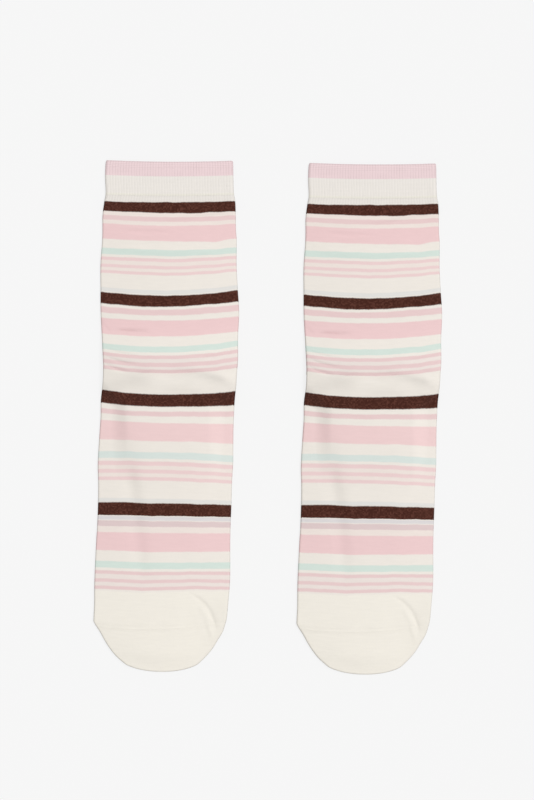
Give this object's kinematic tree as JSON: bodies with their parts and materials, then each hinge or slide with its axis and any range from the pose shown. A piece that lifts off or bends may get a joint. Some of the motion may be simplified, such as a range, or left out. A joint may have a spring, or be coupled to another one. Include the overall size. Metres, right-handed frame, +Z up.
{
  "type": "pair of striped crew socks",
  "caption": "Pair of fine-knit crew socks with multi-stripe legs, ribbed cuffs and plain toes, laid flat side by side, heels folded beneath.",
  "frame": {"origin": "on the surface that the socks lie on, under the middle of the pair's outline", "axes": "+X across the pair, from the left sock to the right one; +Y along the socks from toe to cuff; +Z up, off the surface"},
  "size_m": [0.2298, 0.3394, 0.0068],
  "materials": {
    "rib_knit": "fine 1x1 rib, matt, pink over cream",
    "striped_knit": "fine plain knit, matt, with brown, pale pink and mint stripes on cream",
    "cream_knit": "fine plain knit, matt cream"
  },
  "bodies": {
    "root": {"left_cuff": "rib_knit", "left_leg": "striped_knit", "left_heel": "cream_knit", "left_foot": "striped_knit", "left_toe": "cream_knit", "right_cuff": "rib_knit", "right_leg": "striped_knit", "right_heel": "cream_knit", "right_foot": "striped_knit", "right_toe": "cream_knit"}
  },
  "joints": []
}
